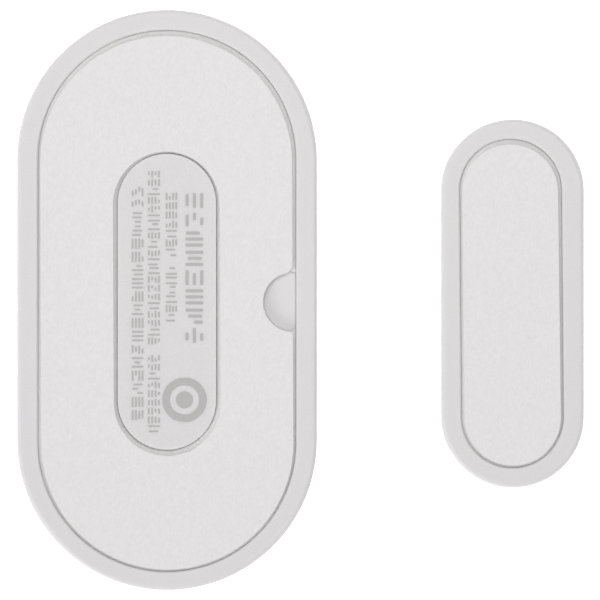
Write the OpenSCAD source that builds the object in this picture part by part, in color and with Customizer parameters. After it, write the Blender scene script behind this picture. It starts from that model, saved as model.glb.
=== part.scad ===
// Door contact sensor, lying face down: a large sensor unit, and a small magnet unit beside it.
// The origin is the centre of the sensor unit's front face, which is the face it lies on.
// +Z points out of the adhesive backs, +Y runs along both units, and +X points at the magnet unit.

/* [Sensor casing] */
// Length of the sensor unit, along Y
sensor_l = 41; // [40:0.1:42]
// Width of the sensor unit, along X
sensor_w = 21.2; // [21:0.1:22]
// Height of the sensor casing, from the front face to the rim
sensor_h = 10.9; // [10.8:0.1:11.4]
// Radius of the rounded front edge
sensor_front_round = 2.5; // [1:0.1:3]
// Width of the rim along the sensor's straight sides
sensor_rim_w = 1.48; // [1.4:0.01:1.5]
// Width of the rim at each end of the sensor
sensor_end_rim_w = 1.37; // [1.3:0.01:1.4]
// Shift of the sensor's recess towards the bottom end, as moulded
recess_drop = 0.07; // [0:0.01:0.07]
// Thickness of the front wall
front_wall = 1.3; // [1:0.1:1.5]
// Width of the step that the rear cover rests on
cover_ledge = 0.52; // [0.5:0.01:0.54]

/* [Magnet casing] */
// Length of the magnet unit, along Y
magnet_l = 26.1; // [25:0.1:28]
// Width of the magnet unit, along X
magnet_w = 10.1; // [10:0.1:11]
// Height of the magnet casing, from the front face to the rim
magnet_h = 8.9; // [8.7:0.1:9.4]
// Radius of the rounded front edge
magnet_front_round = 2.1; // [1:0.1:2.5]
// Width of the rim along the magnet unit's straight sides
magnet_rim_w = 1.43; // [1.3:0.01:1.45]
// Width of the rim at each end of the magnet unit
magnet_end_rim_w = 1.4; // [1.3:0.01:1.42]
// Gap between the two units as they lie
unit_gap = 8.81; // [2:0.01:20]
// How far the magnet unit's middle lies below the sensor unit's middle
unit_drop = 0.25; // [0:0.01:2]
// Turn of the magnet unit's recess in its casing, as moulded
magnet_recess_turn = 0.45; // [0:0.05:0.8]
// Shift of that recess towards the sensor unit, as moulded
magnet_recess_shift = 0.08; // [0:0.01:0.1]

/* [Rear covers and pads] */
// Depth of the recess that each pad lies in
recess_depth = 0.5; // [0.4:0.05:0.6]
// Thickness of each rear cover
cover_t = 0.8; // [0.7:0.05:0.8]
// Clearance round each rear cover
cover_gap = 0.02; // [0.02:0.01:0.05]
// Thickness of the foam tape
foam_t = 0.5; // [0.4:0.05:0.8]
// Thickness of the release liner
liner_t = 0.1; // [0.08:0.01:0.2]
// Gap between the sensor's pad and its recess at each long side
pad_gap = 0.23; // [0.2:0.01:0.3]
// Gap between the sensor's pad and its recess at each end
pad_end_gap = 0.29; // [0.29:0.01:0.4]
// How far the sensor's pad was laid towards the bottom end
pad_drop = 0.12; // [0:0.01:0.2]
// How far the sensor's pad was laid askew
pad_turn = 0.25; // [0:0.01:0.3]
// Gap between the magnet's pad and its recess at each long side
magnet_pad_gap = 0.23; // [0.2:0.01:0.3]
// Gap between the magnet's pad and its recess at each end
magnet_pad_end_gap = 0.28; // [0.2:0.01:0.3]
// How far the magnet's pad was laid askew
magnet_pad_turn = 0.7; // [0.4:0.05:0.8]
// How far the magnet's pad was laid towards the bottom end
magnet_pad_drop = 0.1; // [0:0.01:0.15]
// Length of the raised label island
island_l = 20.9; // [18:0.1:22]
// Width of the raised label island
island_w = 6.95; // [6:0.05:8]
// How far the island sits towards the bottom end, from the cover's middle
island_drop = 0.06; // [0:0.01:0.1]
// Gap between the island and the edge of the pad's hole
island_gap = 0.29; // [0.2:0.01:0.5]
// Radius of the pry notch in the pad's edge
notch_r = 2.1; // [1.8:0.05:2.4]
// Radius of the notch's upper shoulder
notch_flare_top = 0.8; // [0.3:0.05:0.9]
// Radius of the notch's lower shoulder
notch_flare_bottom = 0.35; // [0.3:0.05:0.9]

/* [Electronics] */
// Height of the circuit board's lower face above the front face
board_z = 4.7; // [4.6:0.1:4.8]
// Thickness of the circuit board
board_t = 0.8; // [0.6:0.1:0.8]
// Clearance between the circuit board and the casing
board_gap = 0.2; // [0.15:0.05:0.3]
// Diameter of the coin cell
cell_d = 16; // [16:0.1:16]
// Thickness of the coin cell
cell_t = 3.2; // [3.2:0.1:3.2]
// Distance of the coin cell's middle below the unit's middle
cell_drop = 9; // [8.9:0.05:9.05]
// Diameter of the reed switch's glass tube
reed_d = 1.8; // [1.6:0.1:1.8]
// Length of the reed switch's glass tube
reed_l = 10; // [9:0.5:10]
// Gap between the two reeds while the magnet is near
reed_gap = 0.03; // [0.03:0.01:0.05]
// Diameter of the hole for the reset pin
reset_hole_d = 1; // [0.8:0.1:1.2]
// Distance of the reset hole above the unit's middle
reset_y = 8; // [7:0.5:8]

/* [Magnet] */
// Length of the bar magnet
bar_l = 18; // [15:0.5:18]
// Width of the bar magnet
bar_w = 5; // [4:0.5:5]
// Height of the bar magnet
bar_h = 4.5; // [3:0.5:4.5]

/* [Hidden] */
$fn = 96;
eps = 0.01;             // how far a cut runs past the face it opens
rim_round = 0.3;        // rounding of the rim's outer edge
lip_bevel = 0.1;        // bevel of the rim's inner edge

// Sensor casing
recess_l = sensor_l - 2 * sensor_end_rim_w;
recess_w = sensor_w - 2 * sensor_rim_w;
cavity_l = recess_l - 2 * cover_ledge;
cavity_w = recess_w - 2 * cover_ledge;
recess_z = sensor_h - recess_depth;
ledge_z = recess_z - cover_t;
arc_y = (recess_l - recess_w) / 2;      // centre of each end of the recess, from its middle

// Sensor pad and pry notch
pad_l = recess_l - 2 * pad_end_gap;
pad_w = recess_w - 2 * pad_gap;
hole_l = island_l + 2 * island_gap;
hole_w = island_w + 2 * island_gap;
hole_drop = 0.07;       // how far the hole was cut towards the bottom end
notch_x = pad_w / 2;

// Rear cover
island_below_rim = 0.05;
island_top = sensor_h - island_below_rim;
leg_t = 0.5;            // detent legs, which hang from the cover
leg_w = 2;
leg_l = 1.7;
leg_root = 0.2;         // how far each leg runs into the cover
leg_gap = 0.1;
leg_left_y = 2.6;
leg_right_y = 5.6;
leg_turn = 60;          // each lower leg, from the bottom end
bump_r = 0.14;
bump_w = 1.4;
bump_h = 0.4;
bump_z = ledge_z - leg_l + 0.4;
detent_w = 2.4;         // width of the groove for each leg

// Circuit board and what stands on it
board_top = board_z + board_t;
board_l = cavity_l - 2 * board_gap;
board_w = cavity_w - 2 * board_gap;
pin_places = [[-5.4, 12.9], [3.7, 10.9]];
post_places = [[-5.6, -2.6], [5.6, -2.6], [0, -17]];
peg_places = [[-6.9, -1.7], [6.9, -1.7]];
post_r = 1;
pin_r = 0.5;
pin_over = 0.35;        // how far each pin stands over the board
peg_r = 0.5;
led_place = [0, 12.2];
light_spot_t = 0.7;     // wall left in front of the status light
light_tube_r = 1.1;
light_tube_wall = 0.8;
light_tube_h = 2.1;
plating_t = 0.05;

// Coin cell and holder
cell_r = cell_d / 2;
cell_z = board_top + 0.5;
cell_bore_r = cell_r + 0.12;
holder_top = board_top + 3.2;
holder_floor_t = 0.45;
can_wall = 0.25;

// Reed switch
reed_x = 6;
reed_y = 7.6;
reed_z = board_top + 0.3 + reed_d / 2;
reed_lead_r = 0.25;
reed_reach = 1.6;       // from the glass to where the lead turns down
reed_seal = 1.2;        // length of each solid glass end
reed_blade_w = 0.62;
reed_blade_t = 0.12;
reed_overlap = 1.1;

// Reset switch
switch_x = -7;          // face of the switch's base
switch_w = 3;
switch_l = 4.6;
switch_h = 1.6;
switch_z = board_top + 0.9;     // height of the plunger's axis
switch_cover_t = 0.12;
plunger_w = 1.7;
plunger_h = 0.9;
plunger_reach = 1.15;   // how far the plunger stands out of the base

// Magnet unit
magnet_x = sensor_w / 2 + unit_gap + magnet_w / 2;
magnet_recess_l = magnet_l - 2 * magnet_end_rim_w;
magnet_recess_w = magnet_w - 2 * magnet_rim_w;
magnet_ledge = 0.5;
magnet_cavity_l = magnet_recess_l - 2 * magnet_ledge;
magnet_cavity_w = magnet_recess_w - 2 * magnet_ledge;
magnet_recess_z = magnet_h - recess_depth;
magnet_ledge_z = magnet_recess_z - cover_t;
bar_z = front_wall + 0.2;
rib_y = 6;              // ribs under and over the bar magnet
rib_l = 3.6;
rib_t = 1;

// A stadium outline: length l along Y, width w along X
module stadium(l, w) {
    square([w, l - w], center = true);
    translate([0, (l - w) / 2]) circle(d = w);
    translate([0, (w - l) / 2]) circle(d = w);
}

// A flat stadium solid that starts at height z
module slab(l, w, z, t) {
    translate([0, 0, z]) linear_extrude(t) stadium(l, w);
}

// Half of a casing's cross-section, with its front edge and its rim rounded
module half_section(r, h, front) {
    difference() {
        square([r, h]);
        translate([r - front, 0]) difference() {
            square(front + eps);
            translate([0, front]) circle(front);
        }
        translate([r - rim_round, h - rim_round]) difference() {
            square(rim_round + eps);
            circle(rim_round);
        }
    }
}

// A solid casing blank: two turned ends, and a straight middle of the same section
module casing_blank(l, w, h, front) {
    straight = l - w;
    translate([0, straight / 2, 0]) rotate_extrude(angle = 180) half_section(w / 2, h, front);
    translate([0, -straight / 2, 0]) rotate([0, 0, 180]) {
        rotate_extrude(angle = 180) half_section(w / 2, h, front);
    }
    translate([0, straight / 2, 0]) rotate([90, 0, 0]) linear_extrude(straight) {
        half_section(w / 2, h, front);
        mirror([1, 0]) half_section(w / 2, h, front);
    }
}

// A shallow sighting groove on a casing's side, which shows where the two units line up
module sighting_groove(x, z_low, z_high) {
    groove_w = 0.7;
    translate([x, 0, 0]) rotate([0, 90, 0]) linear_extrude(0.5, center = true) {
        translate([-(z_low + z_high) / 2, 0]) square([z_high - z_low, groove_w], center = true);
        translate([-z_low, 0]) circle(d = groove_w);
        translate([-z_high, 0]) circle(d = groove_w);
    }
}

// The four places of the rear cover's detent legs, as windows of width w across the cavity's wall
module leg_windows(w) {
    window = [4, w];
    translate([-cavity_w / 2, leg_left_y]) square(window, center = true);
    translate([cavity_w / 2, leg_right_y]) square(window, center = true);
    for (side = [-1, 1]) {
        translate([0, -arc_y]) rotate(side * leg_turn - 90) translate([cavity_w / 2, 0]) {
            square(window, center = true);
        }
    }
}

// A bevel round a recess of length l and width w, whose rim is at height h
module lip_cut(l, w, h) {
    straight = l - w;
    for (end = [0, 180]) rotate(end) translate([0, straight / 2, 0]) {
        rotate_extrude(angle = 180) lip_section(w / 2, h);
    }
    translate([0, straight / 2, 0]) rotate([90, 0, 0]) linear_extrude(straight) {
        lip_section(w / 2, h);
        mirror([1, 0]) lip_section(w / 2, h);
    }
}

// Section of that bevel's cut, which runs past the rim and into the open recess
module lip_section(r, h) {
    past = 0.1;
    low = h - lip_bevel;
    high = h + past;
    polygon([[r - past, low], [r, low], [r + lip_bevel + past, high], [r - past, high]]);
}

// The pry notch as an opening in an edge at x = 0, with shoulders that curve out of it
module notch_outline(r) {
    circle(r);
    notch_shoulder(r, notch_flare_top);
    mirror([0, 1]) notch_shoulder(r, notch_flare_bottom);
}

// The shoulder bites slightly into the edge and the notch, so that no two arcs only just touch
module notch_shoulder(r, flare) {
    bite = 0.02;
    shoulder_x = flare - bite;
    shoulder_y = sqrt(pow(r + flare - bite, 2) - pow(shoulder_x, 2));
    difference() {
        translate([-flare * r / (r + flare), 0]) square([2, shoulder_y]);
        translate([-shoulder_x, shoulder_y]) circle(flare);
    }
}

// The sensor's recess, its cavity and its rear cover share one centre
module at_recess() {
    translate([0, -recess_drop, 0]) children();
}

module sensor_front_shell() color("gainsboro") {
    difference() {
        casing_blank(sensor_l, sensor_w, sensor_h, sensor_front_round);
        at_recess() {
            slab(cavity_l, cavity_w, front_wall, sensor_h);
            slab(recess_l, recess_w, ledge_z, sensor_h);
            lip_cut(recess_l, recess_w, sensor_h);
            // grooves for the cover's detents
            translate([0, 0, ledge_z - leg_l]) linear_extrude(leg_l + eps) intersection() {
                stadium(cavity_l + 4 * bump_r, cavity_w + 4 * bump_r);
                leg_windows(detent_w);
            }
        }
        // hole for the reset pin
        translate([-sensor_w / 2 - 1, reset_y, switch_z]) rotate([0, 90, 0]) {
            cylinder(h = 4, d = reset_hole_d);
        }
        // thin spot that the status light shines through
        translate([led_place[0], led_place[1], light_spot_t]) cylinder(h = front_wall, r = light_tube_r);
        sighting_groove(sensor_w / 2, 4, 7.4);
    }
    // light tube round the status light
    translate([led_place[0], led_place[1], front_wall - eps]) difference() {
        cylinder(h = light_tube_h, r = light_tube_r + light_tube_wall);
        translate([0, 0, -1]) cylinder(h = light_tube_h + 2, r = light_tube_r);
    }
    for (place = concat(pin_places, post_places)) translate([place[0], place[1], front_wall - eps]) {
        cylinder(h = board_z - front_wall + eps, r = post_r);
    }
    for (place = pin_places) translate([place[0], place[1], front_wall]) {
        cylinder(h = board_top + pin_over - front_wall, r = pin_r);
    }
}

module sensor_rear_cover() color("gainsboro") at_recess() {
    plate_l = recess_l - 2 * cover_gap;
    plate_w = recess_w - 2 * cover_gap;
    core = 0.8;         // wall left round the island's core
    difference() {
        union() {
            slab(plate_l, plate_w, ledge_z, cover_t);
            translate([0, -island_drop, 0]) slab(island_l, island_w, ledge_z, island_top - ledge_z);
            // detent legs, which follow the cavity's wall
            translate([0, 0, ledge_z - leg_l + leg_root]) linear_extrude(leg_l) intersection() {
                difference() {
                    stadium(cavity_l - 2 * leg_gap, cavity_w - 2 * leg_gap);
                    stadium(cavity_l - 2 * leg_gap - 2 * leg_t, cavity_w - 2 * leg_gap - 2 * leg_t);
                }
                leg_windows(leg_w);
            }
            // detent bumps
            translate([0, 0, bump_z]) linear_extrude(bump_h) intersection() {
                difference() {
                    stadium(cavity_l + 2 * bump_r, cavity_w + 2 * bump_r);
                    stadium(cavity_l - 2 * leg_gap - leg_t, cavity_w - 2 * leg_gap - leg_t);
                }
                leg_windows(bump_w);
            }
        }
        translate([0, -island_drop, 0]) {
            slab(island_l - 2 * core, island_w - 2 * core, ledge_z - eps, cover_t + eps);
        }
    }
}

// The sensor pad's outline, as it was cut and laid
module pad_outline() {
    translate([0, -recess_drop - pad_drop]) rotate(pad_turn) difference() {
        stadium(pad_l, pad_w);
        translate([0, -hole_drop]) stadium(hole_l, hole_w);
        translate([notch_x, 0]) notch_outline(notch_r);
    }
}

module sensor_foam_tape() color("whitesmoke") {
    translate([0, 0, recess_z]) linear_extrude(foam_t) pad_outline();
}

module sensor_tape_liner() color("white") {
    translate([0, 0, recess_z + foam_t]) linear_extrude(liner_t) pad_outline();
}

module circuit_board() color("darkgreen") {
    difference() {
        slab(board_l, board_w, board_z, board_t);
        for (place = pin_places) translate([place[0], place[1], 0]) cylinder(h = 9, r = pin_r + 0.1);
        for (place = peg_places) translate([place[0], place[1], 0]) cylinder(h = 9, r = peg_r + 0.05);
        for (end = [-1, 1]) translate([reed_x, reed_y + end * (reed_l / 2 + reed_reach), 0]) {
            cylinder(h = 9, r = reed_lead_r + 0.1);
        }
    }
}

module battery_holder() color("#30302f") {
    side_cut = 5.9;
    difference() {
        intersection() {
            slab(cavity_l - 0.3, cavity_w - 0.3, board_top, holder_top - board_top);
            translate([-15, -25, 0]) cube([30, 24.8, 20]);
        }
        translate([0, -cell_drop, board_top + holder_floor_t]) cylinder(h = 9, r = cell_bore_r);
        translate([0, -cell_drop, 0]) cylinder(h = 9, r = 4);
        // the sides are open, so that the cell can be lifted by its edges
        for (side = [-1, 1]) {
            translate([side * (side_cut + 5), -cell_drop, board_top + holder_floor_t + 5]) {
                cube([10, 12.4, 10], center = true);
            }
        }
        // slot for the positive contact
        translate([-2.7, -1.8, board_top - 1]) cube([5.4, 3, 9]);
    }
    for (place = peg_places) translate([place[0], place[1], board_z - 0.2]) {
        cylinder(h = board_t + 0.2, r = peg_r);
    }
}

module battery_positive_contact() color("gold") {
    strip_w = 5;
    strip_t = 0.15;
    leaf_y = -cell_drop + cell_r + 0.07;
    translate([-strip_w / 2, 0, 0]) {
        // foot on the board
        translate([0, -0.35, board_top]) cube([strip_w, 1.35, strip_t]);
        // outer leg, bridge and spring leaf
        translate([0, -0.35, board_top]) cube([strip_w, strip_t, 3.5]);
        translate([0, leaf_y, board_top + 3.5 - strip_t]) cube([strip_w, -0.2 - leaf_y, strip_t]);
        translate([0.8, leaf_y, board_top + 0.8]) cube([strip_w - 1.6, strip_t, 2.7]);
    }
}

module battery_negative_contact() color("gold") {
    strip_t = 0.15;
    translate([0, -cell_drop, board_top]) {
        difference() {
            cylinder(h = strip_t, r = 3.6);
            translate([0, 0, -1]) cylinder(h = 3, r = 2.2);
        }
        translate([-0.9, -3, 0]) cube([1.8, 6, strip_t]);
        // raised dimple that presses on the cell
        intersection() {
            translate([0, 0, -0.56]) sphere(1);
            cylinder(h = 2, r = 0.8);
        }
    }
}

module coin_cell_can() color("silver") {
    crimp = 0.25;
    z0 = cell_z + 0.15;
    z1 = cell_z + cell_t;
    translate([0, -cell_drop, 0]) rotate_extrude() polygon([
        [0, z1 - can_wall], [0, z1], [cell_r - crimp, z1], [cell_r, z1 - crimp],
        [cell_r, z0 + crimp], [cell_r - crimp, z0], [cell_r - 0.55, z0], [cell_r - 0.55, z0 + can_wall],
        [cell_r - can_wall, z0 + can_wall], [cell_r - can_wall, z1 - can_wall]
    ]);
}

module coin_cell_cap() color("lightgray") {
    top = cell_z + cell_t - can_wall - 0.05;
    neck = cell_r - 1.02;
    body = cell_r - 0.66;
    translate([0, -cell_drop, 0]) rotate_extrude() polygon([
        [0, cell_z], [neck - 0.25, cell_z], [neck, cell_z + 0.25], [neck, cell_z + 0.44],
        [body, cell_z + 0.44], [body, top], [0, top]
    ]);
}

module coin_cell_gasket() color("dimgray") {
    z0 = cell_z + 0.1;
    z1 = cell_z + cell_t - can_wall - 0.02;
    translate([0, -cell_drop, 0]) rotate_extrude() polygon([
        [cell_r - 1, z0], [cell_r - 0.57, z0], [cell_r - 0.57, z0 + 0.32], [cell_r - 0.27, z0 + 0.32],
        [cell_r - 0.27, z1], [cell_r - 0.64, z1], [cell_r - 0.64, z0 + 0.32], [cell_r - 1, z0 + 0.32]
    ]);
}

// Everything of the reed switch is drawn along +Y from the middle of its glass
module at_reed() {
    translate([reed_x, reed_y, reed_z]) rotate([-90, 0, 0]) children();
}

module reed_glass_tube() color("lightgreen", 0.5) at_reed() {
    end_round = 0.5;
    bore = reed_d / 2 - 0.3;
    rotate_extrude() difference() {
        translate([0, -reed_l / 2]) square([reed_d / 2, reed_l]);
        square([2 * bore, reed_l - 2 * reed_seal], center = true);
        translate([-reed_lead_r, -reed_l]) square([2 * reed_lead_r, 2 * reed_l]);
        for (end = [-1, 1]) translate([reed_d / 2, end * reed_l / 2]) rotate(45) {
            square(end_round, center = true);
        }
    }
}

// A lead that leaves the glass at one end and turns down through the board
module reed_lead(end) {
    inner = reed_l / 2 - reed_seal;
    outer = reed_l / 2 + reed_reach;
    translate([reed_x, reed_y + end * outer, reed_z]) rotate([end * 90, 0, 0]) {
        cylinder(h = outer - inner, r = reed_lead_r);
    }
    translate([reed_x, reed_y + end * outer, reed_z]) sphere(reed_lead_r);
    translate([reed_x, reed_y + end * outer, board_z - 0.3]) {
        cylinder(h = reed_z - board_z + 0.3, r = reed_lead_r);
    }
}

module reed_fixed_blade() color("darkgray") {
    inner = reed_l / 2 - reed_seal;
    reed_lead(-1);
    translate([reed_x - reed_blade_w / 2, reed_y - inner, reed_z - reed_gap / 2 - reed_blade_t]) {
        cube([reed_blade_w, inner + reed_overlap / 2, reed_blade_t]);
    }
}

module reed_lead_wire() color("darkgray") reed_lead(1);

module reed_moving_blade() color("darkgray") {
    reach = reed_l / 2 - reed_seal - 0.1;
    translate([reed_x - reed_blade_w / 2, reed_y - reed_overlap / 2, reed_z + reed_gap / 2]) {
        cube([reed_blade_w, reach + reed_overlap / 2, reed_blade_t]);
    }
    // rounded root, which it bends about
    translate([reed_x, reed_y + reach, reed_z + (reed_gap + reed_blade_t) / 2]) rotate([0, 90, 0]) {
        cylinder(h = reed_blade_w, d = reed_blade_t, center = true);
    }
}

// The reset switch faces -X, and the plunger's axis is at the height of the pin hole
module tact_switch_base() color("#25272b") {
    difference() {
        translate([switch_x, reset_y - switch_l / 2, board_top]) cube([switch_w, switch_l, switch_h]);
        translate([switch_x - eps, reset_y - 1.2, switch_z - 0.65]) cube([1.8 + eps, 2.4, 3]);
    }
}

module tact_switch_cover() color("silver") {
    low = board_top + 0.05;
    top = board_top + switch_h;
    difference() {
        union() {
            translate([switch_x - switch_cover_t, reset_y - switch_l / 2, low]) {
                cube([switch_cover_t, switch_l, top + switch_cover_t - low]);
            }
            translate([switch_x - switch_cover_t, reset_y - switch_l / 2, top]) {
                cube([switch_w + switch_cover_t, switch_l, switch_cover_t]);
            }
        }
        translate([switch_x - 1, reset_y - plunger_w / 2 - 0.06, switch_z - plunger_h / 2 - 0.06]) {
            cube([2, plunger_w + 0.12, plunger_h + 0.12]);
        }
    }
}

module tact_switch_dome() color("silver") {
    dome_r = 0.9;
    // a snap disc that bulges towards the plunger
    translate([switch_x + 1.8 + 0.55, reset_y, switch_z]) difference() {
        intersection() {
            sphere(dome_r);
            translate([-1.55, 0, 0]) cube([2, 1.26, 1.26], center = true);
        }
        sphere(dome_r - 0.1);
    }
}

module tact_switch_plunger() color("#d8d2c4") {
    head_w = 2.2;
    head_x = switch_x + 0.05;
    translate([switch_x - plunger_reach, reset_y - plunger_w / 2, switch_z - plunger_h / 2]) {
        cube([plunger_reach + 0.3, plunger_w, plunger_h]);
    }
    translate([head_x, reset_y - head_w / 2, switch_z - 0.55]) cube([1.05, head_w, 1.1]);
}

// A chip package with a dot that marks pin one
module radio_chip() color("#1b1c1f") {
    size = 5;
    height = 0.85;
    stand_off = 0.05;
    terminal = [0.62, 0.3, 0.12];
    pitch = 0.6;
    dot_in = 0.6;
    dot_r = 0.25;
    dot_depth = 0.05;
    translate([0, 5.6, board_top]) {
        difference() {
            translate([-size / 2, -size / 2, stand_off]) cube([size, size, height]);
            translate([dot_in - size / 2, size / 2 - dot_in, stand_off + height - dot_depth]) {
                cylinder(h = 1, r = dot_r);
            }
        }
        for (turn = [0 : 90 : 270], i = [-3 : 3]) rotate(turn) {
            translate([(size - 1) / 2, i * pitch - terminal[1] / 2, 0]) cube(terminal);
        }
    }
}

module crystal_can() color("silver") {
    base = [3.2, 2.5, 0.35];
    lid = [2.8, 2.1, 0.4];
    translate([-0.6, 10.6, board_top]) {
        translate([-base[0] / 2, -base[1] / 2, 0]) cube(base);
        translate([-lid[0] / 2, -lid[1] / 2, base[2]]) cube(lid);
    }
}

module status_led() color("lightyellow") {
    base = [1.6, 0.8, 0.3];
    lens = [1, 0.8, 0.35];
    translate([led_place[0], led_place[1], board_z - base[2]]) {
        translate([-base[0] / 2, -base[1] / 2, 0]) cube(base);
        translate([-lens[0] / 2, -lens[1] / 2, -lens[2]]) cube(lens);
    }
}

// A two-ended chip part: length along X before it is turned
module chip_part(place, turn, l, w, h) {
    translate([place[0], place[1], board_top]) rotate(turn) {
        translate([-l / 2, -w / 2, 0]) cube([l, w, h]);
    }
}

module chip_capacitors() color("burlywood") {
    for (x = [-2.4, -0.8, 0.8]) chip_part([x, 8.75], 90, 0.8, 0.5, 0.45);
    for (y = [3.6, 4.8]) chip_part([-3.6, y], 0, 1, 0.5, 0.5);
    for (y = [4.1, 5.5, 6.9]) chip_part([4, y], 0, 1, 0.5, 0.5);
    chip_part([2.1, 13.1], 90, 1, 0.5, 0.5);
}

module chip_resistors() color("#202024") {
    for (y = [12.2, 13.2]) chip_part([-2.4, y], 0, 1, 0.5, 0.35);
    for (x = [3.4, 4.2]) chip_part([x, 2.2], 90, 1, 0.5, 0.35);
    chip_part([1.9, 11.4], 90, 1, 0.5, 0.35);
}

// A meandering printed antenna along the board's rounded end
module antenna_trace() color("goldenrod") {
    trace_w = 0.4;
    feed_l = 1;
    pitch = 1.2;
    low = 14.4;
    high = 16.2;
    turns = 6;
    start = -turns * pitch / 2;
    translate([0, 0, board_top]) linear_extrude(plating_t) {
        for (i = [0 : turns]) translate([start + i * pitch - trace_w / 2, low]) {
            square([trace_w, high - low + trace_w]);
        }
        for (i = [0 : turns - 1]) {
            translate([start + i * pitch, i % 2 == 0 ? high : low]) square([pitch, trace_w]);
        }
        translate([start - trace_w / 2, low - feed_l]) square([trace_w, feed_l + trace_w / 2]);
    }
}

module test_pads() color("goldenrod") {
    for (x = [-5.8 : 1.9 : 1.8]) translate([x, 2.15, board_top]) cylinder(h = plating_t, r = 0.5);
}

// Solder cones round the reed's leads, and fillets at the positive contact's foot
module solder_joints() color("gray") {
    for (end = [-1, 1]) {
        translate([reed_x, reed_y + end * (reed_l / 2 + reed_reach), 0]) difference() {
            union() {
                translate([0, 0, board_top]) cylinder(h = 0.4, r1 = 0.7, r2 = 0.3);
                translate([0, 0, board_z - 0.25]) cylinder(h = 0.25, r1 = 0.3, r2 = 0.7);
            }
            translate([0, 0, board_z - 1]) cylinder(h = 4, r = reed_lead_r);
        }
    }
    for (side = [-1, 1]) translate([side * 1.6, 1, board_top]) intersection() {
        translate([0, 0, -0.35]) sphere(0.62);
        translate([-2, 0, 0]) cube([4, 2, 2]);
    }
}

// Moves a child to the middle of the magnet unit
module at_magnet() {
    translate([magnet_x, -unit_drop, 0]) children();
}

// Moves a child to the middle of the magnet unit's recess, and turns it as the recess is
module at_magnet_recess() {
    at_magnet() translate([-magnet_recess_shift, 0, 0]) rotate(magnet_recess_turn) children();
}

module magnet_shell() color("gainsboro") {
    difference() {
        at_magnet() casing_blank(magnet_l, magnet_w, magnet_h, magnet_front_round);
        at_magnet_recess() {
            slab(magnet_cavity_l, magnet_cavity_w, front_wall, magnet_h);
            slab(magnet_recess_l, magnet_recess_w, magnet_ledge_z, magnet_h);
            lip_cut(magnet_recess_l, magnet_recess_w, magnet_h);
        }
        at_magnet() sighting_groove(-magnet_w / 2, 3.2, 6);
    }
    // low pads that the magnet rests on
    for (y = [-rib_y, 0, rib_y]) at_magnet() translate([-rib_l / 2, y - rib_t / 2, front_wall - eps]) {
        cube([rib_l, rib_t, bar_z - front_wall + eps]);
    }
}

module magnet_rear_cover() color("gainsboro") at_magnet_recess() {
    slab(magnet_recess_l - 2 * cover_gap, magnet_recess_w - 2 * cover_gap, magnet_ledge_z, cover_t);
    // ribs that hold the magnet down
    rib_low = bar_z + bar_h + 0.05;
    for (y = [-rib_y, rib_y]) translate([-rib_l / 2, y - rib_t / 2, rib_low]) {
        cube([rib_l, rib_t, magnet_ledge_z - rib_low]);
    }
}

module bar_magnet() color("#8d8f94") at_magnet() {
    translate([-bar_w / 2, -bar_l / 2, bar_z]) cube([bar_w, bar_l, bar_h]);
}

// The magnet pad's outline, as it was laid
module magnet_pad_outline() {
    translate([magnet_x - magnet_recess_shift, -unit_drop - magnet_pad_drop]) rotate(magnet_pad_turn) {
        stadium(magnet_recess_l - 2 * magnet_pad_end_gap, magnet_recess_w - 2 * magnet_pad_gap);
    }
}

module magnet_foam_tape() color("whitesmoke") {
    translate([0, 0, magnet_recess_z]) linear_extrude(foam_t) magnet_pad_outline();
}

module magnet_tape_liner() color("white") {
    translate([0, 0, magnet_recess_z + foam_t]) linear_extrude(liner_t) magnet_pad_outline();
}

sensor_front_shell();
sensor_rear_cover();
sensor_foam_tape();
sensor_tape_liner();
circuit_board();
battery_holder();
battery_positive_contact();
battery_negative_contact();
coin_cell_can();
coin_cell_cap();
coin_cell_gasket();
reed_glass_tube();
reed_fixed_blade();
reed_moving_blade();
reed_lead_wire();
tact_switch_base();
tact_switch_cover();
tact_switch_dome();
tact_switch_plunger();
radio_chip();
crystal_can();
status_led();
chip_capacitors();
chip_resistors();
antenna_trace();
test_pads();
solder_joints();
magnet_shell();
magnet_rear_cover();
bar_magnet();
magnet_foam_tape();
magnet_tape_liner();
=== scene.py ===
import math
import random

import bmesh
import bpy
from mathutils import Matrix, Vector, noise
from mathutils.bvhtree import BVHTree


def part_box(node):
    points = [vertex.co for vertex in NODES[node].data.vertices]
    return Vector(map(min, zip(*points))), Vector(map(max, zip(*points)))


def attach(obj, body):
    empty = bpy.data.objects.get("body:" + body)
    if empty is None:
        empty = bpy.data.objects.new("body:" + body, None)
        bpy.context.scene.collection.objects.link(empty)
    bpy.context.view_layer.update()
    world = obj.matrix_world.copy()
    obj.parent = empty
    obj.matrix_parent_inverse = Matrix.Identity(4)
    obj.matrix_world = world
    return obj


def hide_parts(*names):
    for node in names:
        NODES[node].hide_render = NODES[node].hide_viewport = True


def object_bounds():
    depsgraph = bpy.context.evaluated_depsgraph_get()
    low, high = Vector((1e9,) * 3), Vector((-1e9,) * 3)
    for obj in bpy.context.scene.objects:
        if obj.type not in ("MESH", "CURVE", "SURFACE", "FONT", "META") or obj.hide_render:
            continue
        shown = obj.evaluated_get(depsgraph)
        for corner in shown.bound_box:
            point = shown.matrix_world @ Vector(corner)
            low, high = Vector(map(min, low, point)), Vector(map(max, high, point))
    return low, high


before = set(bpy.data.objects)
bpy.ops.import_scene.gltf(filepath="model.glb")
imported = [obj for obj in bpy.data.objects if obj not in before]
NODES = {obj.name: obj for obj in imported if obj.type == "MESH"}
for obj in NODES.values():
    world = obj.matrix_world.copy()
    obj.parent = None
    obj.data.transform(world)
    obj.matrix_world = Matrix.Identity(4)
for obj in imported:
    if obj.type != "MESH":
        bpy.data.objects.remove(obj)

# The looks of a two-piece door contact sensor that lies face down, with its adhesive backs up.
# Places and sizes are in metres, and are given in millimetres times MM.
MM = 0.001
CAD_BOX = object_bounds()
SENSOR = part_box("sensor_front_shell")


# ---------------------------------------------------------------- camera, lights and floor

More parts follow.
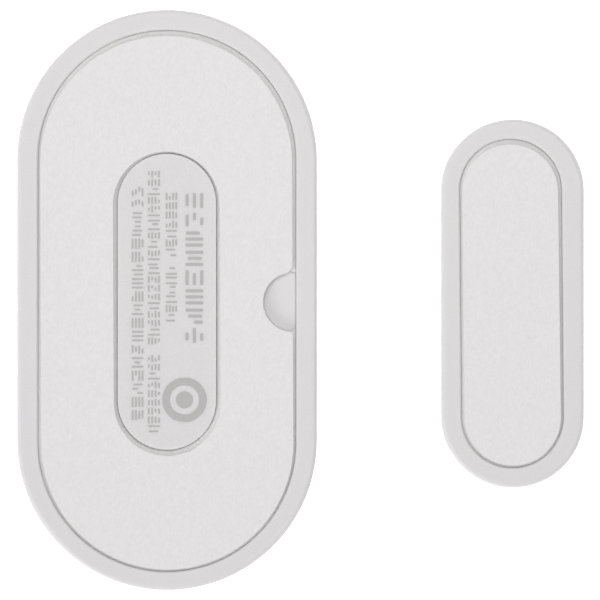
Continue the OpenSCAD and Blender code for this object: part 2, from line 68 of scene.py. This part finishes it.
FIELD = 1.0331          # width that the camera sees, in lengths of the sensor unit
AIM = 0.2292            # how far right of the sensor unit it aims, in the same lengths
LENS = 600.0            # a long lens, because both units are seen from straight above
FILM = 36.0
NEAREST, FARTHEST = 0.05, 10

# name, place from the middle of the two units, diameter of the disk, power
LIGHTS = [
    ("overhead", (0, 0.042, 0.20), 0.16, 0.173),
    ("key", (-0.95, -0.95, 0.87), 0.80, 8.2),
]
WORLD_STRENGTH = 0.39
FLOOR_GLOW = 0.8
FLOOR_REACH = 3.0
FLOOR_GREY = (0.9, 0.9, 0.9)
WHITE_LIGHT = (1, 1, 1, 1)
FLOOR_GAP = 0.02 * MM   # below the units, so that no faces coincide


def make_camera():
    low, high = SENSOR
    length = high.y - low.y
    data = bpy.data.cameras.new("camera")
    data.lens, data.sensor_width = LENS, FILM
    data.clip_start, data.clip_end = NEAREST, FARTHEST
    camera = bpy.data.objects.new("camera", data)
    distance = FIELD * length * LENS / FILM
    camera.location = ((low.x + high.x) / 2 + AIM * length, (low.y + high.y) / 2, high.z + distance)
    bpy.context.scene.collection.objects.link(camera)
    bpy.context.scene.camera = camera
    bpy.context.scene.view_settings.view_transform = "Standard"


def area_light(name, place, target, size, power):
    data = bpy.data.lights.new(name, "AREA")
    data.shape, data.size, data.energy = "DISK", size, power
    light = bpy.data.objects.new(name, data)
    light.location = place
    light.rotation_euler = (Vector(target) - Vector(place)).to_track_quat("-Z", "Y").to_euler()
    bpy.context.scene.collection.objects.link(light)


def make_lights():
    world = bpy.data.worlds.new("studio")
    world.use_nodes = True
    background = world.node_tree.nodes["Background"]
    background.inputs["Color"].default_value = WHITE_LIGHT
    background.inputs["Strength"].default_value = WORLD_STRENGTH
    bpy.context.scene.world = world
    middle = (CAD_BOX[0] + CAD_BOX[1]) / 2
    for name, offset, size, power in LIGHTS:
        area_light(name, middle + Vector(offset), middle, size, power)


def make_floor():
    mesh = bpy.data.meshes.new("floor")
    r = FLOOR_REACH
    mesh.from_pydata([(-r, -r, 0), (r, -r, 0), (r, r, 0), (-r, r, 0)], [], [(0, 1, 2, 3)])
    floor = bpy.data.objects.new("floor", mesh)
    floor.location.z = CAD_BOX[0].z - FLOOR_GAP
    bpy.context.scene.collection.objects.link(floor)
    material, bsdf = new_material("studio_floor", FLOOR_GREY, roughness=0.9)
    bsdf.inputs["Specular IOR Level"].default_value = 0.0
    bsdf.inputs["Emission Color"].default_value = WHITE_LIGHT
    bsdf.inputs["Emission Strength"].default_value = FLOOR_GLOW
    mesh.materials.append(material)


# ---------------------------------------------------------------- material helpers

def new_material(name, colour, roughness=0.5, metallic=0.0):
    material = bpy.data.materials.new(name)
    material.use_nodes = True
    bsdf = material.node_tree.nodes["Principled BSDF"]
    bsdf.inputs["Base Color"].default_value = (*colour, 1)
    bsdf.inputs["Roughness"].default_value = roughness
    bsdf.inputs["Metallic"].default_value = metallic
    return material, bsdf


def add(material, kind, **values):
    """Adds a node, and sets its inputs and its properties by name."""
    node = material.node_tree.nodes.new(kind)
    for key, value in values.items():
        if key in node.inputs:
            node.inputs[key].default_value = value
        else:
            setattr(node, key, value)
    return node


def link(material, out, into):
    material.node_tree.links.new(out, into)


def places(material, stretch=(1, 1, 1), shift=(0, 0, 0)):
    """Places on the object in metres, stretched and shifted."""
    coords = add(material, "ShaderNodeTexCoord")
    mapping = add(material, "ShaderNodeMapping", Location=shift, Scale=stretch)
    link(material, coords.outputs["Object"], mapping.inputs["Vector"])
    return mapping.outputs["Vector"]


def noise_value(material, grain, stretch=(1, 1, 1), detail=2.0, roughness=0.5):
    """Noise from 0 to 1 whose features are about grain metres across."""
    node = add(material, "ShaderNodeTexNoise", Scale=1 / grain, Detail=detail, Roughness=roughness)
    link(material, places(material, stretch), node.inputs["Vector"])
    return node.outputs["Fac"]


def ramp(material, value, *stops):
    """Maps a value to colours, or to greys where the stops hold numbers."""
    node = add(material, "ShaderNodeValToRGB")
    elements = node.color_ramp.elements
    while len(elements) < len(stops):
        elements.new(0.5)
    for element, (position, colour) in zip(elements, stops):
        element.position = position
        element.color = (colour, colour, colour, 1) if isinstance(colour, float) else (*colour, 1)
    link(material, value, node.inputs["Fac"])
    return node.outputs["Color"]


def product(material, a, b):
    """Multiplies two colours, each of them a colour or a socket."""
    node = add(material, "ShaderNodeMix", data_type="RGBA", blend_type="MULTIPLY")
    node.inputs[0].default_value = 1.0
    for socket, given in ((node.inputs[6], a), (node.inputs[7], b)):
        if isinstance(given, tuple):
            socket.default_value = (*given, 1)
        else:
            link(material, given, socket)
    return node.outputs[2]


def let_light_in(bsdf, weight, reach):
    """Light enters the material and comes out again up to about reach metres away."""
    bsdf.inputs["Subsurface Weight"].default_value = weight
    bsdf.inputs["Subsurface Radius"].default_value = (1.0, 0.95, 0.9)
    bsdf.inputs["Subsurface Scale"].default_value = reach


def bump(material, bsdf, height, depth):
    """Raises the surface by up to depth metres where height is 1."""
    node = add(material, "ShaderNodeBump", Distance=depth)
    link(material, height, node.inputs["Height"])
    link(material, node.outputs["Normal"], bsdf.inputs["Normal"])


# ---------------------------------------------------------------- materials

WHITE_PLASTIC = (0.81, 0.794, 0.802)
LINER_PAPER = (0.872, 0.853, 0.862)
# lighter paper for the liner's cut edges: partly its uncoated core, partly a painted highlight where the edge
# catches the light
PAPER_CORE_PAINTED_HIGHLIGHT = (0.93, 0.92, 0.92)
FOAM_WHITE = (0.86, 0.85, 0.84)
PRINT_GREY = (0.53, 0.523, 0.51)
SOLDER_MASK = (0.008, 0.075, 0.035)
MASK_OVER_COPPER = (0.016, 0.12, 0.055)
GOLD = (0.83, 0.60, 0.24)
STEEL = (0.66, 0.66, 0.67)

# sizes of what the textures show
PLASTIC_GRAIN = 0.1 * MM
PLASTIC_CLOUD = 5 * MM
PAPER_FIBRE = 0.14 * MM
PAPER_MOTTLE = 0.9 * MM
PAPER_FLECK = 0.45 * MM
FOAM_CELL = 0.08 * MM
MARK_W = 0.05 * MM          # brushed marks
RING_W = 0.06 * MM          # rings of turned metal
STAIN_W = 2.2 * MM
COPPER_POUR = 3.2 * MM
BOARD_WEAVE = 0.35 * MM
GLASS_WAVE = 1.2 * MM
# how far light spreads inside
PLASTIC_SPREAD = 0.35 * MM
FOAM_SPREAD = 0.2 * MM


def moulded_plastic(name, colour):
    """White moulded plastic: a fine spark-eroded grain over a faint cloudiness."""
    material, bsdf = new_material(name, colour, roughness=0.46)
    cloud = noise_value(material, PLASTIC_CLOUD, detail=3)
    grain = noise_value(material, PLASTIC_GRAIN, detail=4, roughness=0.65)
    tint = ramp(material, cloud, (0.3, tuple(0.985 * c for c in colour)), (0.7, colour))
    shade = ramp(material, grain, (0.25, 0.89), (0.75, 1.0))
    link(material, product(material, tint, shade), bsdf.inputs["Base Color"])
    link(material, ramp(material, cloud, (0.2, 0.42), (0.8, 0.5)), bsdf.inputs["Roughness"])
    let_light_in(bsdf, 0.6, PLASTIC_SPREAD)
    bump(material, bsdf, grain, 0.008 * MM)
    return material


def coated_paper(name, colour):
    """Coated release paper: fine fibres, soft mottling and a few darker flecks."""
    material, bsdf = new_material(name, colour, roughness=0.6)
    fibres = noise_value(material, PAPER_FIBRE, stretch=(1, 0.5, 1), detail=4, roughness=0.7)
    mottle = noise_value(material, PAPER_MOTTLE, detail=3)
    flecks = noise_value(material, PAPER_FLECK, detail=1)
    shade = ramp(material, fibres, (0.28, 0.9), (0.72, 1.0))
    cloud = ramp(material, mottle, (0.3, 0.985), (0.7, 1.0))
    fleck = ramp(material, flecks, (0.165, 0.86), (0.2, 1.0))
    toned = product(material, product(material, shade, cloud), fleck)
    link(material, product(material, colour, toned), bsdf.inputs["Base Color"])
    bump(material, bsdf, fibres, 0.006 * MM)
    return material


def cell_foam(name, colour):
    """Closed-cell foam, seen at its cut edge."""
    material, bsdf = new_material(name, colour, roughness=0.85)
    cells = add(material, "ShaderNodeTexVoronoi", Scale=1 / FOAM_CELL)
    link(material, places(material), cells.inputs["Vector"])
    shade = ramp(material, cells.outputs["Distance"], (0.0, 0.84), (0.5, 1.0))
    link(material, product(material, colour, shade), bsdf.inputs["Base Color"])
    let_light_in(bsdf, 0.8, FOAM_SPREAD)
    bump(material, bsdf, cells.outputs["Distance"], 0.02 * MM)
    return material


def fine_grained(name, colour, roughness, metallic=0.0, grain=0.1 * MM, depth=0.003 * MM):
    """A small plastic, ceramic or metal part with a fine grain."""
    material, bsdf = new_material(name, colour, roughness, metallic)
    value = noise_value(material, grain, detail=3)
    shade = ramp(material, value, (0.25, 0.9), (0.75, 1.0))
    link(material, product(material, colour, shade), bsdf.inputs["Base Color"])
    rough = ramp(material, value, (0.2, roughness * 0.8), (0.8, min(1.0, roughness * 1.25)))
    link(material, rough, bsdf.inputs["Roughness"])
    bump(material, bsdf, value, depth)
    return material


def brushed_metal(name, colour, roughness, stretch):
    """Metal with fine marks along the axis whose stretch is small."""
    material, bsdf = new_material(name, colour, roughness, metallic=1.0)
    marks = noise_value(material, MARK_W, stretch=stretch, detail=4, roughness=0.7)
    stains = noise_value(material, STAIN_W, detail=3)
    shade = ramp(material, marks, (0.3, 0.86), (0.7, 1.0))
    stain = ramp(material, stains, (0.3, 0.93), (0.7, 1.0))
    toned = product(material, product(material, shade, stain), colour)
    link(material, toned, bsdf.inputs["Base Color"])
    rough = ramp(material, marks, (0.2, roughness * 0.8), (0.8, roughness * 1.4))
    link(material, rough, bsdf.inputs["Roughness"])
    bump(material, bsdf, marks, 0.002 * MM)
    return material


def turned_metal(name, colour, roughness, centre):
    """Metal with fine rings round an upright axis through centre."""
    material, bsdf = new_material(name, colour, roughness, metallic=1.0)
    spot = places(material, shift=(-centre.x, -centre.y, 0), stretch=(1, 1, 0))
    length = add(material, "ShaderNodeVectorMath", operation="LENGTH")
    link(material, spot, length.inputs[0])
    rings = add(material, "ShaderNodeTexNoise", noise_dimensions="1D", Scale=1 / RING_W, Detail=3.0)
    link(material, length.outputs["Value"], rings.inputs["W"])
    shade = ramp(material, rings.outputs["Fac"], (0.3, 0.84), (0.7, 1.0))
    link(material, product(material, colour, shade), bsdf.inputs["Base Color"])
    bump(material, bsdf, rings.outputs["Fac"], 0.002 * MM)
    return material


def board_mask(name):
    """Green solder mask over a copper pour that shows as a slightly lighter tone."""
    material, bsdf = new_material(name, SOLDER_MASK, roughness=0.3)
    bsdf.inputs["Coat Weight"].default_value = 0.4
    bsdf.inputs["Coat Roughness"].default_value = 0.15
    pour = noise_value(material, COPPER_POUR, detail=1)
    weave = noise_value(material, BOARD_WEAVE, detail=2)
    tone = ramp(material, pour, (0.47, SOLDER_MASK), (0.5, MASK_OVER_COPPER))
    shade = ramp(material, weave, (0.3, 0.88), (0.7, 1.0))
    link(material, product(material, tone, shade), bsdf.inputs["Base Color"])
    bump(material, bsdf, weave, 0.004 * MM)
    return material


def tinted_glass(name, colour):
    """Pressed green glass, with slightly wavy walls."""
    material, bsdf = new_material(name, colour, roughness=0.04)
    bsdf.inputs["Transmission Weight"].default_value = 1.0
    bsdf.inputs["IOR"].default_value = 1.5
    wave = noise_value(material, GLASS_WAVE, detail=1)
    tint = ramp(material, wave, (0.3, tuple(0.9 * c for c in colour)), (0.7, colour))
    link(material, tint, bsdf.inputs["Base Color"])
    bump(material, bsdf, wave, 0.01 * MM)
    return material


def dress(material, *names):
    for name in names:
        data = NODES[name].data
        data.materials.clear()
        data.materials.append(material)


# ---------------------------------------------------------------- mesh helpers

CORNER_CUT = 0.25           # corner cut off a bar, as a share of its narrow side
RING_STEPS = 64
VIA_STEPS = 16


def add_piece(name, bm, materials, body):
    """Turns a bmesh into a piece that rides on a body."""
    bmesh.ops.recalc_face_normals(bm, faces=bm.faces)
    mesh = bpy.data.meshes.new(name)
    bm.to_mesh(mesh)
    bm.free()
    for material in materials:
        mesh.materials.append(material)
    piece = bpy.data.objects.new(name, mesh)
    bpy.context.scene.collection.objects.link(piece)
    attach(piece, body)
    return piece


def add_prism(bm, corners, z_low, z_high):
    """An upright prism on a polygon of (x, y) corners."""
    low = [bm.verts.new((x, y, z_low)) for x, y in corners]
    high = [bm.verts.new((x, y, z_high)) for x, y in corners]
    bm.faces.new(list(reversed(low)))
    bm.faces.new(high)
    for i in range(len(corners)):
        j = (i + 1) % len(corners)
        bm.faces.new((low[i], low[j], high[j], high[i]))


def add_bar(bm, x, y, width, length, z_low, z_high, turn=0.0):
    """A flat bar with cut corners: width along X and length along Y before it is turned."""
    cut = CORNER_CUT * min(width, length)
    w, h = width / 2, length / 2
    outline = [(w - cut, -h), (w, cut - h), (w, h - cut), (w - cut, h)]
    outline += [(-a, -b) for a, b in outline]
    c, s = math.cos(turn), math.sin(turn)
    add_prism(bm, [(x + a * c - b * s, y + a * s + b * c) for a, b in outline], z_low, z_high)


def add_ring(bm, x, y, inner, outer, z_low, z_high, steps=RING_STEPS):
    """A flat ring, or a disc where inner is 0."""
    angles = [2 * math.pi * i / steps for i in range(steps)]
    if inner == 0:
        add_prism(bm, [(x + outer * math.cos(a), y + outer * math.sin(a)) for a in angles], z_low, z_high)
        return
    loops = []
    for radius, z in ((outer, z_low), (outer, z_high), (inner, z_high), (inner, z_low)):
        loops.append([bm.verts.new((x + radius * math.cos(a), y + radius * math.sin(a), z)) for a in angles])
    for k in range(4):
        first, second = loops[k], loops[(k + 1) % 4]
        for i in range(steps):
            j = (i + 1) % steps
            bm.faces.new((first[i], first[j], second[j], second[i]))


def add_line(bm, points, width, z_low, z_high):
    """A flat line of straight stretches."""
    for (x0, y0), (x1, y1) in zip(points, points[1:]):
        length = math.hypot(x1 - x0, y1 - y0) + width
        turn = math.atan2(y1 - y0, x1 - x0) - math.pi / 2
        add_bar(bm, (x0 + x1) / 2, (y0 + y1) / 2, width, length, z_low, z_high, turn)


# ---------------------------------------------------------------- the pads' cut edges

EDGE_STEP = 0.12 * MM       # spacing of the points along a cut edge
FOAM_REACH = 0.45 * MM      # furthest that the foam bulges past the cut, towards a wall
FOAM_FREE = 0.05 * MM       # how far it bulges where there is no wall
WALL_CLEAR = 0.008 * MM     # between the foam and the wall beside it
LINER_CLEAR = 0.001 * MM    # between the foam and the liner on it, so that no faces coincide
FOAM_ROUGH = 0.003 * MM     # unevenness of the foam's edge
PAPER_ROUGH = 0.006 * MM    # unevenness of the liner's edge
PAPER_ROUND = 0.014 * MM    # how far the cut turns the liner's edge down
WANDER_SIZE = 0.3 * MM      # size of the unevenness along an edge
FADE = 4.0                  # how fast the bulge dies away where the wall is out of reach
SAME_HEIGHT = 1e-6          # heights that differ by less are taken as one
# the foam's cut edge from its foot up: share of its thickness, share of the room beside it
FOAM_LEDGE = [(0.0, 1.0), (0.42, 1.0), (0.52, 0.6), (0.65, 0.25)]
FOAM_SLOPE = [(0.0, 1.0), (0.25, 1.0), (0.45, 0.62), (0.72, 0.25)]


def outline_loops(node):
    """The closed outlines of a flat CAD node's top face, each with the material on its left."""
    mesh = NODES[node].data
    top = max(v.co.z for v in mesh.vertices)
    count, ends = {}, {}
    for polygon in mesh.polygons:
        corners = [mesh.vertices[i].co for i in polygon.vertices]
        if min(c.z for c in corners) < top - SAME_HEIGHT:
            continue
        keys = [(round(c.x, 8), round(c.y, 8)) for c in corners]
        if polygon.normal.z < 0:
            keys.reverse()
        for a, b in zip(keys, keys[1:] + keys[:1]):
            count[(a, b)] = count.get((a, b), 0) + 1
    for a, b in count:
        if (b, a) not in count:
            ends[a] = b
    loops = []
    while ends:
        start = next(iter(ends))
        loop = [start]
        while ends[loop[-1]] != start:
            loop.append(ends.pop(loop[-1]))
        ends.pop(loop[-1])
        loops.append([Vector(p) for p in loop])
    return loops


def even_points(loop):
    """Evenly spaced points along a closed outline, each with its outward direction."""
    lengths = [(b - a).length for a, b in zip(loop, loop[1:] + loop[:1])]
    total = sum(lengths)
    count = int(total / EDGE_STEP)
    points, travelled, k = [], 0.0, 0
    for i in range(count):
        target = total * i / count
        while travelled + lengths[k] < target:
            travelled += lengths[k]
            k += 1
        share = (target - travelled) / lengths[k]
        points.append(loop[k].lerp(loop[(k + 1) % len(loop)], share))
    outward = []
    for i in range(count):
        along = points[(i + 1) % count] - points[i - 1]
        outward.append(Vector((along.y, -along.x)).normalized())
    return points, outward


def room_beside(points, outward, z, walls):
    """How far the layer can spread at each point before it meets a wall."""
    room = []
    for point, out in zip(points, outward):
        origin, direction = Vector((point.x, point.y, z)), Vector((out.x, out.y, 0))
        hits = [tree.ray_cast(origin, direction, 2 * FOAM_REACH)[3] for tree in walls]
        nearest = min([2 * FOAM_REACH] + [hit for hit in hits if hit is not None]) - WALL_CLEAR
        past = max(0.0, nearest - FOAM_REACH)
        room.append(max(FOAM_FREE, min(nearest, FOAM_REACH) - FADE * past) if nearest > 0 else 0.0)
    return room


def is_hole(loop):
    """Whether an outline runs clockwise, which means that the material is outside it."""
    return sum(a.cross(b) for a, b in zip(loop, loop[1:] + loop[:1])) < 0


def cut_sheet(name, node, outer_rings, hole_rings, materials, body, slot, seed, walls=()):
    """A die-cut layer in place of a CAD node. Each ring has a height, an offset, the share of the
    room beside the layer that it takes, and an unevenness."""
    bm = bmesh.new()
    first_edges, last_edges = [], []
    for loop in outline_loops(node):
        points, outward = even_points(loop)
        rings = hole_rings if is_hole(loop) else outer_rings
        room = room_beside(points, outward, (rings[0][0] + rings[-1][0]) / 2, walls)
        layers = []
        for z, offset, share, rough in rings:
            layer = []
            for point, out, space in zip(points, outward, room):
                spot = Vector((point.x, point.y, z)) / WANDER_SIZE
                wander = noise.noise(spot + Vector((0, 0, seed))) + 0.6 * noise.noise(3.1 * spot)
                moved = point + out * (offset + share * space + rough * wander)
                layer.append(bm.verts.new((moved.x, moved.y, z)))
            layers.append(layer)
        count = len(points)
        for lower, upper in zip(layers, layers[1:]):
            for i in range(count):
                j = (i + 1) % count
                face = bm.faces.new((lower[i], lower[j], upper[j], upper[i]))
                face.smooth = True
                face.material_index = len(materials) - 1
        for layer, edges in ((layers[0], first_edges), (layers[-1], last_edges)):
            edges += [bm.edges.get((layer[i], layer[(i + 1) % count])) for i in range(count)]
    for edges in (first_edges, last_edges):
        bmesh.ops.triangle_fill(bm, edges=edges, use_beauty=True)
    piece = add_piece(name, bm, materials, body)
    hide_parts(node)


def wall_tree(node):
    """A CAD node's faces, ready for rays."""
    mesh = NODES[node].data
    faces = [tuple(polygon.vertices) for polygon in mesh.polygons]
    return BVHTree.FromPolygons([v.co for v in mesh.vertices], faces)


def make_pads(paper, core_with_painted_highlight, foam):
    """The foam layer and the release liner of each unit."""
    for unit, shell, foam_body, liner_body, seed in (
        ("sensor", "sensor_front_shell", "rear_cover", "sensor_liner", 3.0),
        ("magnet", "magnet_shell", "magnet_unit", "magnet_liner", 11.0),
    ):
        foam_node, liner_node = unit + "_foam_tape", unit + "_tape_liner"
        walls = [wall_tree(shell), wall_tree(unit + "_rear_cover")]
        low, high = (corner.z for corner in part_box(foam_node))
        thick = high - low
        # outside, the foam bulges as a ledge; in the hole it slopes down to the island's foot
        ledge, slope = (
            [(low + share * thick, 0.0, spread, FOAM_ROUGH) for share, spread in profile]
            for profile in (FOAM_LEDGE, FOAM_SLOPE)
        )
        top_ring = (high - LINER_CLEAR, 0.0, 0.0, PAPER_ROUGH)
        foam_rings = (ledge + [top_ring], slope + [top_ring])
        cut_sheet(unit + "_foam_layer", foam_node, *foam_rings, [foam], foam_body, "foam", seed, walls)
        low, high = (corner.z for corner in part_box(liner_node))
        rings = [
            (low, 0.0, 0.0, PAPER_ROUGH),
            (high - PAPER_ROUND, 0.0, 0.0, PAPER_ROUGH),
            (high, -PAPER_ROUND, 0.0, PAPER_ROUGH),
        ]
        # the side faces take the last material: lighter paper that is partly the core and partly a painted
        # highlight on the cut edge
        materials = [paper, core_with_painted_highlight]
        cut_sheet(unit + "_release_liner", liner_node, rings, rings, materials, liner_body, "liner", seed)


# ---------------------------------------------------------------- print on the label island

PRINT_T = 0.004 * MM
PRINT_SEED = 7
LEFT_OUT = 0.06             # share of the blocks that are left out
BLOCK_FILL = 0.78           # share of its spacing that a block takes
BAR_PITCH = 1.9             # spacing of the bars in a block, in bar thicknesses
BAR_LENGTHS = (0.5, 0.8, 1.0, 1.0)

# in millimetres: x of the column's middle, y of its top and its bottom, width, spacing of its blocks,
# thickness of a bar
PRINT_COLUMNS = [
    (-2.07, 8.15, -8.40, 0.82, 0.93, 0.12),
    (-0.92, 9.20, -9.55, 0.84, 0.62, 0.12),
    (0.32, 7.65, -1.30, 0.80, 0.66, 0.12),
    (1.94, 7.70, -2.90, 1.24, 1.36, 0.21),
]
# in millimetres: the ring's middle, outer radius and band, and the radius of its dot
RING_PLACE = (1.24, -7.05)
RING_OUTER = 1.57
RING_BAND = 0.53
RING_DOT = 0.6


def make_print(ink):
    """Columns of blocks, each of a few plain bars side by side, and a plain ring with a dot."""
    rng = random.Random(PRINT_SEED)
    bm = bmesh.new()
    cover_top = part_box("sensor_rear_cover")[1].z
    z = (cover_top, cover_top + PRINT_T)
    for x, top, bottom, width, pitch, bar in PRINT_COLUMNS:
        count = round((top - bottom) / pitch)
        for i in range(count):
            y = top - (i + 0.5) * pitch
            if rng.random() < LEFT_OUT:
                continue
            block = BLOCK_FILL * pitch
            upright = rng.random() < 0.5
            across, along = (width, block) if upright else (block, width)
            rows = max(2, round(across / (BAR_PITCH * bar)))
            for k in range(rows):
                share = rng.choice(BAR_LENGTHS)
                slide = rng.uniform(-1, 1) * (1 - share) / 2 * along
                place = (across - bar) * (k / (rows - 1) - 0.5)
                if upright:
                    add_bar(bm, (x + place) * MM, (y + slide) * MM, bar * MM, share * along * MM, *z)
                else:
                    add_bar(bm, (x + slide) * MM, (y + place) * MM, share * along * MM, bar * MM, *z)
    x, y = (v * MM for v in RING_PLACE)
    add_ring(bm, x, y, (RING_OUTER - RING_BAND) * MM, RING_OUTER * MM, *z)
    add_ring(bm, x, y, 0, RING_DOT * MM, *z)
    add_piece("label_print", bm, [ink], "rear_cover")


# ---------------------------------------------------------------- details on the board and the cell

TRACE_T = 0.012 * MM
TRACE_W = 0.16 * MM
TRACE_COUNT = 70
TRACE_SEED = 21
VIA_INNER = 0.1 * MM
VIA_OUTER = 0.24 * MM
# in millimetres: where a trace may start, the length of a stretch, and the bare edge of the board
TRACE_X = (-8, 8)
TRACE_Y = (-2, 17.5)
STRETCH = (0.6, 2.4)
BOARD_EDGE = 0.5
# holes through the board, in millimetres, which the traces keep clear of
BOARD_HOLES = [(-5.4, 12.9), (3.7, 10.9), (-6.9, -1.7), (6.9, -1.7), (6, 1), (6, 14.2)]
HOLE_CLEAR = 1.0
# parts that have an outline printed round them, and its distance from them
OUTLINED = ["radio_chip", "crystal_can", "reed_glass_tube", "tact_switch_base"]
OUTLINE_GAP = 0.4 * MM
OUTLINE_W = 0.12 * MM


def on_board(x, y):
    """Whether a place, in millimetres, is inside the board and clear of its holes."""
    low, high = (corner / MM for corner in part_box("circuit_board"))
    radius = (high.x - low.x) / 2
    past = max(0.0, abs(y) - (high.y - radius))
    if math.hypot(x, past) > radius - BOARD_EDGE:
        return False
    return all(math.hypot(x - a, y - b) > HOLE_CLEAR for a, b in BOARD_HOLES)


def trace_points(rng):
    """The points of a trace, in millimetres, which turns by an eighth of a turn at each bend."""
    x, y = rng.uniform(*TRACE_X), rng.uniform(*TRACE_Y)
    heading = rng.randrange(8)
    points = [(x, y)]
    for _ in range(rng.randrange(2, 5)):
        step = rng.uniform(*STRETCH)
        x += step * math.cos(heading * math.pi / 4)
        y += step * math.sin(heading * math.pi / 4)
        points.append((x, y))
        heading += rng.choice((-1, 1))
    return points


def make_traces(trace_material, gold):
    """Traces that keep to the board and end in plated holes."""
    rng = random.Random(TRACE_SEED)
    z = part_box("circuit_board")[1].z
    traces, vias = bmesh.new(), bmesh.new()
    drawn = 0
    while drawn < TRACE_COUNT:
        points = trace_points(rng)
        middles = [((a[0] + b[0]) / 2, (a[1] + b[1]) / 2) for a, b in zip(points, points[1:])]
        if all(on_board(a, b) for a, b in points + middles):
            scaled = [(a * MM, b * MM) for a, b in points]
            add_line(traces, scaled, TRACE_W, z, z + TRACE_T)
            for a, b in (scaled[0], scaled[-1]):
                add_ring(vias, a, b, VIA_INNER, VIA_OUTER, z, z + 2 * TRACE_T, steps=VIA_STEPS)
            drawn += 1
    add_piece("board_traces", traces, [trace_material], "sensor_body")
    add_piece("board_vias", vias, [gold], "sensor_body")


def make_silkscreen(silk):
    """Printed outlines round the larger parts."""
    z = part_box("circuit_board")[1].z
    bm = bmesh.new()
    for name in OUTLINED:
        low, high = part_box(name)
        x0, y0 = low.x - OUTLINE_GAP, low.y - OUTLINE_GAP
        x1, y1 = high.x + OUTLINE_GAP, high.y + OUTLINE_GAP
        corners = [(x0, y0), (x1, y0), (x1, y1), (x0, y1), (x0, y0)]
        add_line(bm, corners, OUTLINE_W, z + TRACE_T, z + 2 * TRACE_T)
    add_piece("board_silkscreen", bm, [silk], "sensor_body")


MARK_T = 0.008 * MM
PLUS_OUT = 3.6 * MM         # from the cell's middle
PLUS_W = 0.35 * MM
PLUS_L = 2.2 * MM
CROSSBAR_RAISE = 0.002 * MM     # so that the two bars of the plus don't share a face
STAMPED_RING = (6.55 * MM, 6.7 * MM)


def make_cell_mark(dark_metal):
    """A plus sign and a shallow ring, as stamped on the coin cell's can."""
    low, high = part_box("coin_cell_can")
    x, y = (low.x + high.x) / 2, (low.y + high.y) / 2
    z = (high.z, high.z + MARK_T)
    bm = bmesh.new()
    add_bar(bm, x, y + PLUS_OUT, PLUS_W, PLUS_L, *z)
    add_bar(bm, x, y + PLUS_OUT, PLUS_L, PLUS_W, z[0], z[1] + CROSSBAR_RAISE)
    add_ring(bm, x, y, *STAMPED_RING, *z)
    add_piece("cell_polarity_mark", bm, [dark_metal], "coin_cell")


# ---------------------------------------------------------------- the scene

make_camera()
make_floor()
make_lights()

dress(moulded_plastic("casing_plastic", WHITE_PLASTIC), "sensor_front_shell", "magnet_shell")
dress(moulded_plastic("cover_plastic", WHITE_PLASTIC), "sensor_rear_cover", "magnet_rear_cover")
foam_material = cell_foam("foam_tape", FOAM_WHITE)
paper_material = coated_paper("liner_paper", LINER_PAPER)
# the liner's cut edges: partly the paper's core, partly a painted highlight along the edge
core_painted_highlight_material = coated_paper("liner_core_painted_highlight", PAPER_CORE_PAINTED_HIGHLIGHT)
make_pads(paper_material, core_painted_highlight_material, foam_material)
make_print(fine_grained("label_ink", PRINT_GREY, 0.6, grain=0.15 * MM))

can_low, can_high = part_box("coin_cell_can")
can_centre = (can_low + can_high) / 2
gold_material = fine_grained("gold_plate", GOLD, 0.3, 1.0)
dress(board_mask("solder_mask"), "circuit_board")
dress(fine_grained("holder_plastic", (0.022, 0.022, 0.023), 0.5, depth=0.006 * MM), "battery_holder")
contact = brushed_metal("contact_plating", (0.80, 0.62, 0.30), 0.3, (1, 0.06, 0.06))
dress(contact, "battery_positive_contact", "battery_negative_contact")
dress(turned_metal("cell_can", STEEL, 0.26, can_centre), "coin_cell_can")
dress(turned_metal("cell_cap", (0.62, 0.62, 0.63), 0.34, can_centre), "coin_cell_cap")
dress(fine_grained("cell_gasket", (0.035, 0.035, 0.04), 0.6), "coin_cell_gasket")
dress(tinted_glass("reed_glass", (0.72, 0.93, 0.80)), "reed_glass_tube")
reed_metal = brushed_metal("reed_metal", (0.62, 0.61, 0.58), 0.32, (1, 0.05, 1))
dress(reed_metal, "reed_fixed_blade", "reed_moving_blade", "reed_lead_wire")
dress(fine_grained("switch_plastic", (0.03, 0.03, 0.034), 0.5, depth=0.006 * MM), "tact_switch_base")
switch_steel = brushed_metal("switch_steel", STEEL, 0.28, (1, 0.06, 1))
dress(switch_steel, "tact_switch_cover", "tact_switch_dome")
dress(fine_grained("plunger_nylon", (0.60, 0.56, 0.46), 0.5), "tact_switch_plunger")
dress(fine_grained("chip_epoxy", (0.018, 0.018, 0.02), 0.55, depth=0.008 * MM), "radio_chip")
dress(brushed_metal("crystal_lid", (0.72, 0.69, 0.60), 0.26, (0.06, 1, 1)), "crystal_can")
dress(fine_grained("led_epoxy", (0.84, 0.80, 0.55), 0.18), "status_led")
dress(fine_grained("capacitor_ceramic", (0.36, 0.23, 0.12), 0.45), "chip_capacitors")
dress(fine_grained("resistor_glaze", (0.02, 0.02, 0.026), 0.3), "chip_resistors")
dress(gold_material, "antenna_trace", "test_pads")
dress(fine_grained("solder", (0.62, 0.63, 0.64), 0.24, 1.0, grain=0.2 * MM, depth=0.01 * MM), "solder_joints")
dress(fine_grained("magnet_nickel", (0.52, 0.52, 0.53), 0.32, 1.0, grain=0.3 * MM), "bar_magnet")
make_traces(fine_grained("mask_over_copper", (0.022, 0.17, 0.075), 0.3), gold_material)
make_silkscreen(fine_grained("silkscreen_ink", (0.72, 0.73, 0.70), 0.6))
make_cell_mark(fine_grained("stamped_metal", (0.30, 0.30, 0.31), 0.42, 1.0))
